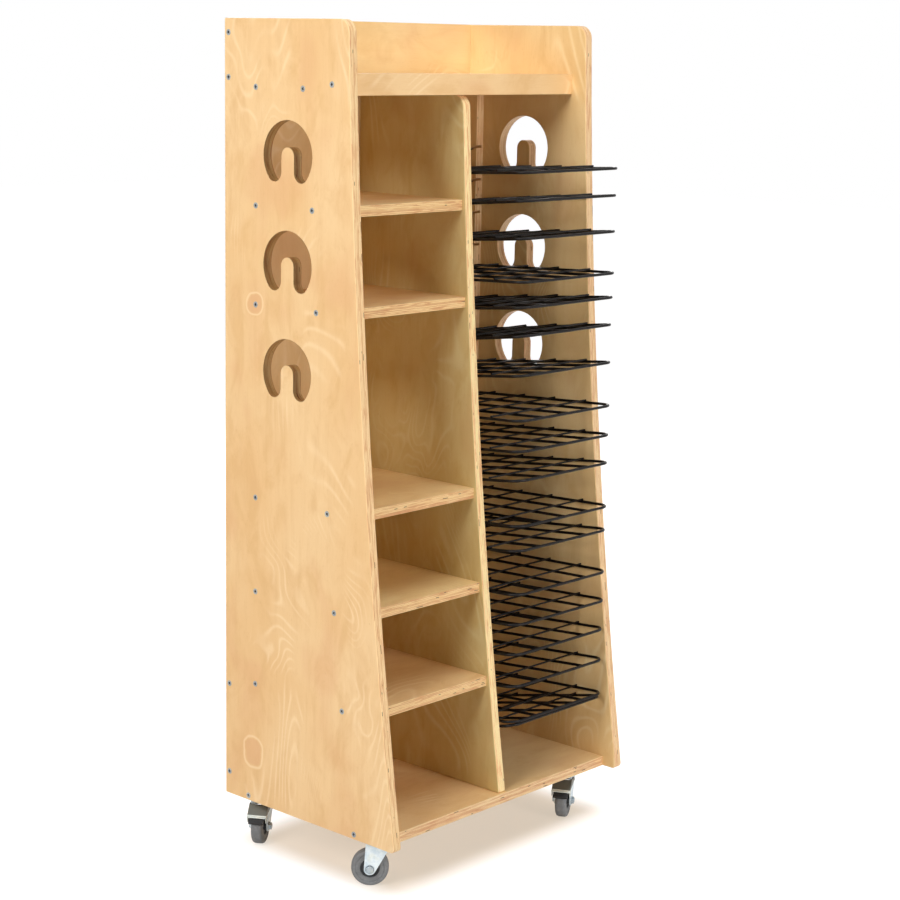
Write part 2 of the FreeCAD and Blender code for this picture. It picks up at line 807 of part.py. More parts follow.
def pedal_shape():
    """Pressed pedal: tread plate with a rolled lip, and cheeks that hang on a pin outside the fork."""
    thick = dim("pedal_thick")
    inner = dim("fork_gap") / 2 + dim("fork_thick") + dim("pedal_play")
    outer = inner + thick
    pivot = pedal_pivot()
    run = math.hypot(PEDAL_LIP[0] - PEDAL_HEAD[0], PEDAL_LIP[1] - PEDAL_HEAD[1])
    nx = (PEDAL_HEAD[1] - PEDAL_LIP[1]) / run * thick / 2
    nz = (PEDAL_LIP[0] - PEDAL_HEAD[0]) / run * thick / 2
    tread = [(PEDAL_HEAD[0] + nx, PEDAL_HEAD[1] + nz), (PEDAL_LIP[0] + nx, PEDAL_LIP[1] + nz),
             (PEDAL_LIP[0] - nx, PEDAL_LIP[1] - nz), (PEDAL_HEAD[0] - nx, PEDAL_HEAD[1] - nz)]
    cheek = [(pivot[0] - 4, pivot[1]), (pivot[0] - 1, pivot[1] + 4), (PEDAL_HEAD[0] - 3, 75),
             (PEDAL_HEAD[0] + nx, PEDAL_HEAD[1] + nz), (PEDAL_LIP[0] + nx, PEDAL_LIP[1] + nz),
             (PEDAL_LIP[0] - 1, 53), (48, 46), (44.5, 46.5), (37, 60), (pivot[0], pivot[1] - 4)]
    pieces = [upright_strip(tread, -outer, outer), upright_strip(cheek, inner, outer),
              upright_strip(cheek, -outer, -inner)]
    pieces.append(Part.makeCylinder(1.5, 2 * outer, vec(PEDAL_LIP[0], -outer, PEDAL_LIP[1]),
                                    vec(0, 1, 0)))
    reach = outer + 0.8
    pieces.append(Part.makeCylinder(dim("pivot_radius"), 2 * reach,
                                    vec(pivot[0], -reach, pivot[1]), vec(0, 1, 0)))
    return pieces[0].multiFuse(pieces[1:]).removeSplitter()


def pad_shape():
    """Rubber block under the pedal's lip; its flat face stands just off the tread."""
    run = math.hypot(PEDAL_LIP[0] - PEDAL_HEAD[0], PEDAL_LIP[1] - PEDAL_HEAD[1])
    along = ((PEDAL_LIP[0] - PEDAL_HEAD[0]) / run, (PEDAL_LIP[1] - PEDAL_HEAD[1]) / run)
    out = (-along[1], along[0])
    centre = (dim("trail"), dim("wheel_radius"))
    plate = (PEDAL_HEAD[0] - centre[0]) * out[0] + (PEDAL_HEAD[1] - centre[1]) * out[1]
    near = dim("wheel_radius") + dim("run_gap")
    far = plate - dim("pedal_thick") / 2
    tip = (PEDAL_LIP[0] - centre[0]) * along[0] + (PEDAL_LIP[1] - centre[1]) * along[1]

    def point(radial, shift):
        return (centre[0] + out[0] * radial + along[0] * shift,
                centre[1] + out[1] * radial + along[1] * shift)

    below_lip = plate - 1.8
    points = [point(near, -5), point(far, -5), point(far, tip - 2.3), point(below_lip, tip - 1.8),
              point(below_lip, tip + 1.8), point(far, tip + 2.3), point(far, tip + 10),
              point(near, tip + 11.5)]
    return upright_strip(points, -dim("pad_width") / 2, dim("pad_width") / 2)


def make_casters():
    plate = plate_shape()
    parts = {"tyre": tyre_shape(), "hub": hub_shape(), "axle_bolt": axle_bolt_shape()}
    for name, turn in CASTERS.items():
        across, along = caster_spot(name)
        spot = FreeCAD.Placement(vec(across, along, 0), FreeCAD.Rotation(vec(0, 0, 1), turn))
        level = FreeCAD.Placement(vec(across, along, 0), FreeCAD.Rotation())
        feature("caster_plate_" + name, plate).Placement = level
        feature("fork_" + name, fork_shape(name in BRAKED)).Placement = spot
        for kind, shape in parts.items():
            feature(kind + "_" + name, shape).Placement = spot
        if name in BRAKED:
            feature("brake_pedal_" + name, pedal_shape()).Placement = spot
            feature("brake_pad_" + name, pad_shape()).Placement = spot


def make_screws():
    long_screw = wood_screw(dim("screw_length"))
    feature("carcass_screws",
            Part.makeCompound([aimed(long_screw, point, way) for point, way in carcass_screws()]))
    plate_screw = caster_screw(0)
    feature("caster_screws",
            Part.makeCompound([moved(plate_screw, spot) for spot in caster_screw_spots()]))


make_panels()
make_boards()
make_battens()
make_racks()
make_casters()
make_screws()
doc.recompute()

NODES = ["left_side_panel", "right_side_panel", "divider_panel", "bottom_board", "top_shelf",
         "top_rail", "header_board", "lower_back_board", "back_panel", "left_batten",
         "right_batten", "carcass_screws", "caster_screws"]
NODES += [name for name, place in SHELF_PLACES]
NODES += ["wire_rack_%02d" % (index + 1) for index in range(len(RACK_SLOPES))]
for name in CASTERS:
    NODES += [kind + "_" + name for kind in ("caster_plate", "fork", "tyre", "hub", "axle_bolt")]
NODES += [kind + "_" + name for name in BRAKED for kind in ("brake_pedal", "brake_pad")]

for item in doc.Objects:
    if "Invalid" in item.State or "Error" in item.State:
        raise RuntimeError("not computed: " + item.Name)

os.makedirs("parts", exist_ok=True)
for name in NODES:
    shape = doc.getObjectsByLabel(name)[0].Shape
    if shape.isNull() or not shape.isValid() or not shape.Solids:
        raise RuntimeError("bad shape: " + name)
    shape.exportStep("parts/%s.step" % name)
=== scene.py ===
import math

import bmesh
import bpy
from mathutils import Matrix, Quaternion, Vector


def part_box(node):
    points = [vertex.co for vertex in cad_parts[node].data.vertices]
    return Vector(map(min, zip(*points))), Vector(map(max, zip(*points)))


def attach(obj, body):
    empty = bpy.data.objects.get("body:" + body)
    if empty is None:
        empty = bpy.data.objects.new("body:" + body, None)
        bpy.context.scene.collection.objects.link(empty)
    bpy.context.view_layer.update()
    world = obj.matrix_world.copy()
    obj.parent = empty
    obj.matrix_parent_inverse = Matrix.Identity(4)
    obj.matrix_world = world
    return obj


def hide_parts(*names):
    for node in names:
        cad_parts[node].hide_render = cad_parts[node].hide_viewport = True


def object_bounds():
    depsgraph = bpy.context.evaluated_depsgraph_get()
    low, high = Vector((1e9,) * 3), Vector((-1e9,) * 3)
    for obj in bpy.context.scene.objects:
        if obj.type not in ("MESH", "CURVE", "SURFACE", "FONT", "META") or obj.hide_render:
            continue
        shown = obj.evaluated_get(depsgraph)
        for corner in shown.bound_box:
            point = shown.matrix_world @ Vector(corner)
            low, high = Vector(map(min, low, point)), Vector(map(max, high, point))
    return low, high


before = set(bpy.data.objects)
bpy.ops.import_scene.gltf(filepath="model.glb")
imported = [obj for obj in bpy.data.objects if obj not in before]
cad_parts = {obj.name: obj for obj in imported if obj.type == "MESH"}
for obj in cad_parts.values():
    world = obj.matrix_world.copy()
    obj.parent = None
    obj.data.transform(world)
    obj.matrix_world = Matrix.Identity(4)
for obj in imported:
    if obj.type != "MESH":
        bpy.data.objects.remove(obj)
cad_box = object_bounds()

AXES = {"X": 0, "Y": 1, "Z": 2}
WHITE = (1.0, 1.0, 1.0, 1.0)

# sockets that the Mix node uses for colours, after those for numbers and vectors
MIX_FACTOR = 0
MIX_FIRST = 6
MIX_SECOND = 7
MIX_RESULT = 2


# ---------------------------------------------------------------- node helpers

class Nodes:
    """Small builder for one material's node tree."""

    def __init__(self, name):
        self.material = bpy.data.materials.new(name)
        self.material.use_nodes = True
        self.tree = self.material.node_tree
        self.shader = self.tree.nodes["Principled BSDF"]
        self.place = self.add("ShaderNodeTexCoord").outputs["Object"]

    def add(self, kind, **settings):
        node = self.tree.nodes.new(kind)
        for key, value in settings.items():
            setattr(node, key, value)
        return node

    def put(self, value, socket):
        if isinstance(value, bpy.types.NodeSocket):
            self.tree.links.new(value, socket)
        else:
            socket.default_value = value

    def fix(self, levels):
        """Shader values that are the same all over the surface."""
        for name, level in levels.items():
            self.shader.inputs[name].default_value = level

    def drive(self, name, value):
        """Shader value that changes over the surface."""
        self.put(value, self.shader.inputs[name])

    def math(self, operation, first, second=0.0, third=0.0):
        node = self.add("ShaderNodeMath", operation=operation)
        for socket, value in zip(node.inputs, (first, second, third)):
            self.put(value, socket)
        return node.outputs[0]

    def plus(self, first, second):
        return self.math("ADD", first, second)

    def minus(self, first, second):
        return self.math("SUBTRACT", first, second)

    def times(self, first, second):
        return self.math("MULTIPLY", first, second)

    def power(self, base, exponent):
        return self.math("POWER", base, exponent)

    def size(self, value):
        return self.math("ABSOLUTE", value)

    def split(self, vector):
        node = self.add("ShaderNodeSeparateXYZ")
        self.put(vector, node.inputs[0])
        return node.outputs

    def join(self, x, y, z):
        node = self.add("ShaderNodeCombineXYZ")
        for socket, value in zip(node.inputs, (x, y, z)):
            self.put(value, socket)
        return node.outputs[0]

    def stretch(self, vector, scale, offset):
        node = self.add("ShaderNodeMapping")
        self.put(vector, node.inputs["Vector"])
        node.inputs["Scale"].default_value = scale
        node.inputs["Location"].default_value = offset
        return node.outputs[0]

    def noise(self, vector, detail, roughness=0.5, distortion=0.0, scale=1.0):
        node = self.add("ShaderNodeTexNoise")
        self.put(vector, node.inputs["Vector"])
        node.inputs["Scale"].default_value = scale
        node.inputs["Detail"].default_value = detail
        node.inputs["Roughness"].default_value = roughness
        node.inputs["Distortion"].default_value = distortion
        return node.outputs[0]

    def patches(self, vector, scale, offset=(0, 0, 0), **settings):
        """Noise whose scale differs between the axes: the higher, the finer."""
        return self.noise(self.stretch(vector, scale, offset), **settings)

    def random(self, value):
        node = self.add("ShaderNodeTexWhiteNoise", noise_dimensions="1D")
        self.put(value, node.inputs["W"])
        return node.outputs["Value"]

    def remap(self, value, low, high, start=0.0, end=1.0):
        """Smooth step from start to end while the value goes from low to high."""
        node = self.add("ShaderNodeMapRange", interpolation_type="SMOOTHSTEP")
        for socket, number in zip(node.inputs, (value, low, high, start, end)):
            self.put(number, socket)
        return node.outputs[0]

    def mix(self, factor, first, second, blend="MIX"):
        node = self.add("ShaderNodeMix", data_type="RGBA", blend_type=blend, clamp_result=True)
        self.put(factor, node.inputs[MIX_FACTOR])
        self.put(first, node.inputs[MIX_FIRST])
        self.put(second, node.inputs[MIX_SECOND])
        return node.outputs[MIX_RESULT]

    def tint(self, base, colour, mask, strength):
        """The base with another colour mixed in, at most at this strength, where the mask is."""
        return self.mix(self.times(mask, strength), base, colour)

    def toned(self, base, tone):
        return self.mix(1.0, base, tone, "MULTIPLY")

    def bump(self, height, strength, distance, normal=None):
        node = self.add("ShaderNodeBump")
        node.inputs["Strength"].default_value = strength
        node.inputs["Distance"].default_value = distance
        self.put(height, node.inputs["Height"])
        if normal is not None:
            self.put(normal, node.inputs["Normal"])
        return node.outputs[0]

    def eased(self, radius):
        """Normal that rounds sharp edges off."""
        node = self.add("ShaderNodeBevel", samples=4)
        node.inputs["Radius"].default_value = radius
        return node.outputs[0]


def linear(red, green, blue):
    """Colour from 0 to 255 screen values, through the sRGB curve."""
    parts = []
    for level in (red, green, blue):
        level = level / 255
        parts.append(level / 12.92 if level <= 0.04045 else ((level + 0.055) / 1.055) ** 2.4)
    return (*parts, 1.0)


# ---------------------------------------------------------------- birch plywood

LAYER = 0.0014              # thickness of one veneer in the board
BOARD_EASE = 0.0012         # radius that the boards' edges are sanded to

FACE_LIGHT = linear(242, 208, 156)
FACE_MAIN = linear(235, 195, 138)
FACE_DARK = linear(220, 174, 114)
FACE_PINK = linear(226, 176, 126)
ARC = linear(252, 224, 178)
PORE = linear(186, 132, 78)
EDGE_PALE = linear(246, 214, 164)
EDGE_MAIN = linear(228, 182, 128)
EDGE_PINK = linear(206, 142, 98)
GLUE = linear(150, 98, 58)
VOID = linear(84, 50, 28)
HOLD_WALL_DARKENING = (0.52, 0.44, 0.32, 1.0)      # how much of an edge's colour stays where the hand holds' cut walls are darkened

# scales of the face's noises, per metre: across the veneer, along it, through the board
DRIFT = (5.0, 3.0, 4.0)                 # slow change from deep to light
SWELL = (4.2, 2.1, 3.0)                 # bends the growth rings into arcs
CLUMPS = (9.0, 5.0, 6.0)                # where the arcs show
CLOUD = (21.0, 9.0, 9.0)                # mottled figure
STREAK = (95.0, 5.0, 30.0)
FIBRE = (620.0, 26.0, 60.0)
FLECK = (1500.0, 130.0, 90.0)           # pores
SWIRL = (38.0, 38.0, 38.0)              # ragged outline of an eye in the figure
WAVE = (9.0, 9.0, 9.0)                  # slow wander of the layers on a cut edge

RING_PITCH = 34.0                       # growth rings across the veneer, radians per metre
RING_SWELL = 95.0                       # how far the swell moves them, in radians
RING_SHARPNESS = 9.0
SWIRL_SQUARENESS = 2.6                  # 2 would be an ellipse
SWIRL_RAGGED = 1.1
WANDER = 0.7                            # of the layers, in layers
FIGURE_SCALE = 24.0                     # figure in the cut layers, along the edge
FIGURE_THROUGH = 330.0                  # and across it
VOID_SCALE = 30.0                       # open voids, along the edge
VOID_STEP = 17.3                        # keeps one layer's voids apart from the next layer's
SEED_STEP = 31.0                        # keeps one board's layers apart from the next board's
SHIFT = (3.17, 1.71, 0.93)              # moves each board to its own part of the noises


def veneer(n, sheet, across, shift):
    """Face of rotary-cut birch: its colour, and its fine grain for roughness and bump."""
    drift = n.patches(sheet, DRIFT, shift, detail=3.0, roughness=0.55, distortion=0.4)
    swell = n.patches(sheet, SWELL, shift, detail=1.5, roughness=0.45, distortion=0.9)
    clumps = n.patches(sheet, CLUMPS, shift, detail=2.0, distortion=0.3)
    cloud = n.patches(sheet, CLOUD, shift, detail=4.0, roughness=0.62, distortion=0.6)
    streak = n.patches(sheet, STREAK, shift, detail=2.0, roughness=0.55, distortion=0.15)
    fibre = n.patches(sheet, FIBRE, shift, detail=2.0, roughness=0.6)
    fleck = n.patches(sheet, FLECK, shift, detail=1.0)
    rings = n.math("MULTIPLY_ADD", swell, RING_SWELL, n.times(across, RING_PITCH))
    line = n.power(n.size(n.math("SINE", rings)), RING_SHARPNESS)
    arcs = n.times(line, n.remap(clumps, 0.50, 0.64))

    face = n.mix(n.remap(drift, 0.32, 0.70), FACE_MAIN, FACE_LIGHT)
    face = n.tint(face, FACE_DARK, n.remap(cloud, 0.44, 0.70), 0.46)
    face = n.tint(face, FACE_PINK, n.remap(clumps, 0.30, 0.46, 1.0, 0.0), 0.45)
    face = n.tint(face, ARC, arcs, 0.55)
    face = n.tint(face, FACE_DARK, n.remap(streak, 0.50, 0.74), 0.15)
    face = n.tint(face, FACE_DARK, n.remap(fibre, 0.52, 0.78), 0.18)
    face = n.tint(face, PORE, n.remap(fleck, 0.66, 0.78), 0.28)
    grain = n.plus(n.times(fibre, 0.6), n.times(fleck, 0.4))
    rough = n.remap(n.plus(drift, n.times(fibre, 0.5)), 0.5, 1.1, 0.44, 0.58)
    return face, grain, rough


def swirl(n, face, sheet, across, along, outline):
    """Darker eye in the figure, with a pale line round it."""
    centre_across, centre_along, half_across, half_along = outline
    ragged = n.patches(sheet, SWIRL, detail=2.0)
    beside = n.math("DIVIDE", n.minus(across, centre_across), half_across)
    above = n.math("DIVIDE", n.minus(along, centre_along), half_along)
    reach = n.plus(n.power(n.size(beside), SWIRL_SQUARENESS),
                   n.power(n.size(above), SWIRL_SQUARENESS))
    reach = n.plus(reach, n.times(n.minus(ragged, 0.5), SWIRL_RAGGED))
    eye = n.remap(reach, 0.55, 1.00, 1.0, 0.0)
    halo = n.times(n.remap(reach, 0.85, 1.15), n.remap(reach, 1.25, 1.75, 1.0, 0.0))
    face = n.tint(face, FACE_PINK, eye, 0.60)
    return n.tint(face, ARC, halo, 0.55)


def cut_edge(n, depth, across, along, sheet, span, seed):
    """Cut edge's colour, relief and open voids: thin layers of alternate grain with glue lines."""
    low, high = span
    layers = 2 * round((high - low) / LAYER / 2) + 1
    level = n.times(n.minus(depth, low), layers / (high - low))
    wavy = n.patches(sheet, WAVE, detail=1.0)
    level = n.plus(level, n.times(n.minus(wavy, 0.5), WANDER))
    layer = n.math("FLOOR", level)
    within = n.math("FRACT", level)
    near = n.math("MINIMUM", within, n.minus(1.0, within))
    odd = n.math("MODULO", n.size(layer), 2.0)
    own = n.random(n.plus(layer, seed * SEED_STEP))
    figure = n.join(n.times(across, FIGURE_SCALE), n.times(along, FIGURE_SCALE),
                    n.times(depth, FIGURE_THROUGH))
    flame = n.noise(figure, detail=3.0, roughness=0.6, distortion=0.5)
    run = n.join(n.times(across, VOID_SCALE), n.times(along, VOID_SCALE),
                 n.times(layer, VOID_STEP))
    gaps = n.noise(run, detail=1.0, roughness=0.4, scale=1.4)

    edge = n.tint(EDGE_PALE, EDGE_MAIN, odd, 0.75)
    edge = n.tint(edge, EDGE_PINK, n.remap(own, 0.45, 0.95), 0.60)
    edge = n.tint(edge, EDGE_PINK, n.remap(flame, 0.50, 0.66), 0.75)
    edge = n.tint(edge, EDGE_PALE, n.remap(flame, 0.34, 0.47, 1.0, 0.0), 0.70)
    edge = n.tint(edge, GLUE, n.remap(near, 0.03, 0.16, 1.0, 0.0), 0.40)
    hole = n.times(n.remap(gaps, 0.70, 0.73), odd)
    hole = n.times(hole, n.remap(near, 0.06, 0.18))
    return n.mix(hole, edge, VOID), n.times(odd, -0.5), hole


def darkened_in_zone(n, edge, across, along, zone):
    """Edge that is darker inside a zone: the cut walls of the hand holds."""
    centre, half_width, low, high = zone
    inside = n.math("LESS_THAN", n.size(n.minus(across, centre)), half_width)
    inside = n.times(inside, n.math("GREATER_THAN", along, low))
    inside = n.times(inside, n.math("LESS_THAN", along, high))
    return n.mix(inside, edge, n.toned(edge, HOLD_WALL_DARKENING))


def ply(name, thick, grain, span, seed, tones_and_light, swirls, dark_zone):
    """Birch plywood whose layers stack along one axis and whose veneer runs along another."""
    n = Nodes(name)
    axis = n.split(n.place)
    across_axis = [key for key in AXES if key not in (thick, grain)][0]
    along = axis[AXES[grain]]
    across = axis[AXES[across_axis]]
    depth = axis[AXES[thick]]
    sheet = n.join(across, along, n.times(depth, 2.0))
    face, fine, rough = veneer(n, sheet, across, [seed * step for step in SHIFT])
    for outline in swirls:
        face = swirl(n, face, sheet, across, along, outline)
    edge, relief, hole = cut_edge(n, depth, across, along, sheet, span, seed)
    if dark_zone:
        edge = darkened_in_zone(n, edge, across, along, dark_zone)

    normal = n.split(n.add("ShaderNodeTexCoord").outputs["Normal"])
    on_face = n.remap(n.size(normal[AXES[thick]]), 0.60, 0.75)
    on_edge = n.minus(1.0, on_face)
    # the tones multiply the board's colours: partly its own tone, partly painted light and shade
    face_tone_and_light, edge_tone_and_light = ((*tone, 1.0) for tone in tones_and_light)
    height = n.plus(n.times(on_face, fine), n.times(on_edge, relief))
    n.drive("Base Color", n.mix(on_face, n.toned(edge, edge_tone_and_light), n.toned(face, face_tone_and_light)))
    n.drive("Normal", n.bump(height, 0.16, 0.0006, n.eased(BOARD_EASE)))
    n.drive("Roughness", n.math("MULTIPLY_ADD", n.times(hole, on_edge), 0.4, rough))
    n.fix({"Specular IOR Level": 0.30, "Coat Weight": 0.05, "Coat Roughness": 0.30})
    return n.material


# ---------------------------------------------------------------- metal, wire and rubber

METAL_EASE = 0.0006
RUBBER_EASE = 0.0007
ZINC_DULL = (26, 20, 14)                # how much darker the dull spangles are, in screen values
ZINC_WARM = linear(206, 204, 168)
# painted shade in hollows
ZINC_PAINTED_HOLLOW_SHADE = linear(34, 32, 34)
# painted shade on the brake pedals' treads
ZINC_PAINTED_TREAD_SHADE = linear(92, 92, 84)
SHADE_BAND = 0.001                      # over which a pedal's painted shade sets in
WIRE_BLACK = linear(9, 7, 7)
WIRE_WORN = linear(22, 18, 16)

# scales of the noises, per metre along X, Y and Z
SPANGLE = (90, 90, 90)
DRAWN = (2600, 2600, 240)
WARMTH = (45, 45, 45)
PEEL = (900, 900, 900)
WORN = (60, 60, 60)
SKIN = (1800, 1800, 1800)
DUST = (130, 130, 130)


def zinc(name, tone, rough, seed, metallic, recess=None, painted_shade_above=None):
    """Zinc plate with soft spangle; where those are given, painted shade in hollows and on the
    tread above a height.
    """
    n = Nodes(name)
    spangle = n.patches(n.place, SPANGLE, (seed, seed, 0), detail=3.0, roughness=0.6)
    drawn = n.patches(n.place, DRAWN, (0, seed, seed), detail=1.0)
    warmth = n.patches(n.place, WARMTH, (seed, 0, seed), detail=1.0)
    dull = [level - drop for level, drop in zip(tone, ZINC_DULL)]
    base = n.mix(n.remap(spangle, 0.35, 0.68), linear(*tone), linear(*dull))
    base = n.tint(base, ZINC_WARM, n.remap(warmth, 0.56, 0.74), 0.25)
    if recess:
        # painted shade: ambient occlusion darkens the zinc in hollows, such as the screws' cross
        # recesses
        painted_hollow_shade = n.add("ShaderNodeAmbientOcclusion", samples=8)
        painted_hollow_shade.inputs["Distance"].default_value = recess
        base = n.mix(n.remap(painted_hollow_shade.outputs["AO"], 0.45, 0.95), ZINC_PAINTED_HOLLOW_SHADE, base)
    # painted shade: above the given height the pedal's tread is darker
    if painted_shade_above:
        height = n.split(n.place)["Z"]
        shade = n.remap(height, painted_shade_above, painted_shade_above + SHADE_BAND)
        base = n.mix(shade, base, ZINC_PAINTED_TREAD_SHADE)
    n.drive("Base Color", base)
    n.drive("Roughness", n.remap(spangle, 0.3, 0.7, rough, rough + 0.14))
    n.drive("Normal", n.bump(drawn, 0.10, 0.0003, n.eased(METAL_EASE)))
    n.fix({"Metallic": metallic})
    return n.material


def wire(name):
    """Thick black powder coat with a little orange peel."""
    n = Nodes(name)
    peel = n.patches(n.place, PEEL, detail=2.0)
    worn = n.patches(n.place, WORN, detail=3.0, roughness=0.6)
    n.drive("Base Color", n.mix(n.remap(worn, 0.45, 0.75), WIRE_BLACK, WIRE_WORN))
    n.drive("Roughness", n.remap(worn, 0.3, 0.7, 0.30, 0.42))
    n.drive("Normal", n.bump(peel, 0.12, 0.0003))
    n.fix({"Specular IOR Level": 0.16, "Coat Weight": 0.03, "Coat Roughness": 0.15})
    return n.material


def rubber(name, tone, spread, rough):
    """Moulded rubber or plastic with a fine matte skin and paler dust."""
    n = Nodes(name)
    skin = n.patches(n.place, SKIN, detail=2.0)
    dust = n.patches(n.place, DUST, detail=4.0, roughness=0.65)
    pale = [min(255, level + spread) for level in tone]
    n.drive("Base Color", n.mix(n.remap(dust, 0.42, 0.72), linear(*tone), linear(*pale)))
    n.drive("Roughness", n.remap(dust, 0.3, 0.7, rough - 0.06, rough + 0.10))
    n.drive("Normal", n.bump(skin, 0.18, 0.0004, n.eased(RUBBER_EASE)))
    n.fix({"Specular IOR Level": 0.35})
    return n.material


# ---------------------------------------------------------------- dressing the nodes

# node, axis its layers stack along, axis its veneer runs along
BOARDS = (
    ("left_side_panel", "X", "Z"),
    ("right_side_panel", "X", "Z"),
    ("divider_panel", "X", "Z"),
    ("left_batten", "X", "Z"),
    ("right_batten", "X", "Z"),
    ("bottom_board", "Z", "X"),
    ("top_shelf", "Z", "X"),
    ("shelf_1", "Z", "X"),
    ("shelf_2", "Z", "X"),
    ("shelf_3", "Z", "X"),
    ("shelf_4", "Z", "X"),
    ("shelf_5", "Z", "X"),
    ("top_rail", "Y", "X"),
    ("header_board", "Y", "X"),
    ("lower_back_board", "Y", "X"),
    ("back_panel", "Y", "Z"),
)

# how each board differs from the mean colour: its faces, its cut edges. Partly each board's own
# tone,
# partly painted light and shade: darker on the divider's face and the back panel, where shade
# falls in the bays, lighter on the divider's cut edges, the left batten and the header, where
# light reaches into them
PLAIN = (1.0, 1.0, 1.0)
RAIL = (1.02, 0.98, 0.96)
SHELF_EDGE = (1.0, 0.98, 0.88)
BOARD_TONES_AND_PAINTED_LIGHT = {
    "left_side_panel": ((1.03, 1.00, 1.00), (1.02, 1.04, 1.02)),
    "right_side_panel": ((1.00, 1.03, 1.00), (1.04, 1.06, 1.10)),
    "divider_panel": ((0.79, 0.90, 0.80), (1.22, 1.30, 1.24)),
    "left_batten": ((1.10, 1.22, 1.40), (1.12, 1.25, 1.45)),
    "shelf_1": (PLAIN, SHELF_EDGE),
    "shelf_2": (PLAIN, SHELF_EDGE),
    "shelf_3": ((1.04, 1.10, 1.10), SHELF_EDGE),
    "shelf_4": ((1.08, 1.16, 1.12), SHELF_EDGE),
    "shelf_5": (PLAIN, SHELF_EDGE),
    "top_rail": (RAIL, RAIL),
    "header_board": ((1.08, 1.17, 1.22), (1.05, 1.08, 1.10)),
    "back_panel": ((0.76, 0.74, 0.72), PLAIN),
}

# eyes in a board's figure: middle and half sizes, across and along its veneer
LOW_EYE = (0.1366, 0.1775, 0.022, 0.026)
SCREW_EYE = (0.1335, 0.9670, 0.018, 0.017)
SWIRLS = {"left_side_panel": (LOW_EYE, SCREW_EYE)}

# where a board's cut edges are darker: middle and half width across, lowest and highest along
HAND_HOLDS = (0.0541, 0.060, 0.75, 1.30)
DARK_ZONES = {"left_side_panel": HAND_HOLDS}


def dress(node, material):
    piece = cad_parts[node]
    piece.data.materials.clear()
    piece.data.materials.append(material)


def dress_boards():
    for seed, (node, thick, grain) in enumerate(BOARDS, 1):
        low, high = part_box(node)
        span = (low[AXES[thick]], high[AXES[thick]])
        tones_and_light = BOARD_TONES_AND_PAINTED_LIGHT.get(node, (PLAIN, PLAIN))
        swirls = SWIRLS.get(node, ())
        dark_zone = DARK_ZONES.get(node)
        dress(node, ply("ply_" + node, thick, grain, span, seed, tones_and_light, swirls, dark_zone))


def dress_fittings(materials):
    """Give each node the material of the first words of its name."""
    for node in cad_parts:
        for start, material in materials.items():
            if node.startswith(start):
                dress(node, material)


PAINTED_SHADE_REACH = 0.003              # reach of the painted shade in hollows
TREAD_TOP = 0.0588          # height above which the brake pedals' treads get painted shade

dress_boards()
ZINC_SCREW = zinc("zinc_screw", (176, 178, 176), 0.34, 1.0, 0.6, recess=PAINTED_SHADE_REACH)
ZINC_FORK = zinc("zinc_fork", (226, 236, 240), 0.34, 2.0, 0.35, recess=PAINTED_SHADE_REACH)
dress_fittings({
    "wire_rack": wire("black_wire"),
    "carcass_screws": ZINC_SCREW,
    "caster_screws": ZINC_SCREW,
    "caster_plate": ZINC_FORK,
    "fork": ZINC_FORK,
    "axle_bolt": zinc("zinc_bolt", (186, 194, 198), 0.30, 4.0, 0.6),
    "brake_pedal": zinc("zinc_pedal", (216, 218, 208), 0.36, 3.0, 0.35, painted_shade_above=TREAD_TOP),
    "brake_pad": rubber("black_pad", (22, 22, 23), 12, 0.55),
    "tyre": rubber("grey_tyre", (118, 119, 120), 14, 0.62),
    "hub": rubber("dark_hub", (58, 60, 63), 10, 0.5),
})


# ---------------------------------------------------------------- carcass screws

HEAD_RADIUS = 0.0051        # as large as the photograph shows them
HEAD_PROUD = 0.0004         # of the panel's face
HEAD_SINK = 0.0003          # of the CAD screw's face in the panel
FACE_SHARE = 0.9            # flat part of the head, of its radius
RIM_SHARE = 0.4             # height of the head's full width, of how far it is proud
SHANK_RADIUS = 0.0021
POINT_SHARE = 0.05          # blunt end of the point, of the shank's radius
RECESS_REACH = 0.0029
RECESS_WIDTH = 0.0010
RECESS_DEPTH = 0.0022
FOOT_REACH_SHARE = 0.5      # how far the recess narrows at its foot
FOOT_WIDTH_SHARE = 0.7
SIDES = 28
TURN = 2.4                  # between the recesses of one screw and the next, in radians
SHARP = math.radians(32)    # edges that stay sharp in the shading
SAME_PLACE = 1e-6           # corners nearer than this are one corner
END_SLICE = 0.0005          # of a CAD screw, which tells its head from its point


def islands(mesh):
    """Places of each loose part's corners in a mesh."""
    whole = bmesh.new()
    whole.from_mesh(mesh)
    bmesh.ops.remove_doubles(whole, verts=whole.verts, dist=SAME_PLACE)
    seen = set()
    for start in whole.verts:
        if start in seen:
            continue
        part = [start]
        seen.add(start)
        for vert in part:
            for edge in vert.link_edges:
                other = edge.other_vert(vert)
                if other not in seen:
                    seen.add(other)
                    part.append(other)
        yield [vert.co.copy() for vert in part]
    whole.free()


def screw_pose(places):
    """Middle of a CAD screw's face, the way that the face looks, and the screw's length."""
    low = Vector([min(place[axis] for place in places) for axis in range(3)])
    high = Vector([max(place[axis] for place in places) for axis in range(3)])
    size = high - low
    axis = max(range(3), key=lambda key: size[key])
    middle = (low + high) / 2
    near_low = [place - middle for place in places if place[axis] - low[axis] < END_SLICE]
    spread = max(max(abs(offset[key]) for key in range(3) if key != axis) for offset in near_low)
    head_is_low = spread > SHANK_RADIUS
    face = middle.copy()
    face[axis] = low[axis] if head_is_low else high[axis]
    looks = Vector((0, 0, 0))
    looks[axis] = -1 if head_is_low else 1
    return face, looks, size[axis]


def ring(radius, height):
    angles = [math.tau * step / SIDES for step in range(SIDES)]
    return [Vector((radius * math.cos(angle), radius * math.sin(angle), height))
            for angle in angles]


def cross(reach, width, height):
    """Outline of the recess: twelve corners, anticlockwise."""
    corners = []
    for quarter in range(4):
        turn = Matrix.Rotation(quarter * math.pi / 2, 3, "Z")
        for x, y in ((width, -width), (reach, -width), (reach, width)):
            corners.append(turn @ Vector((x, y, height)))
    return corners


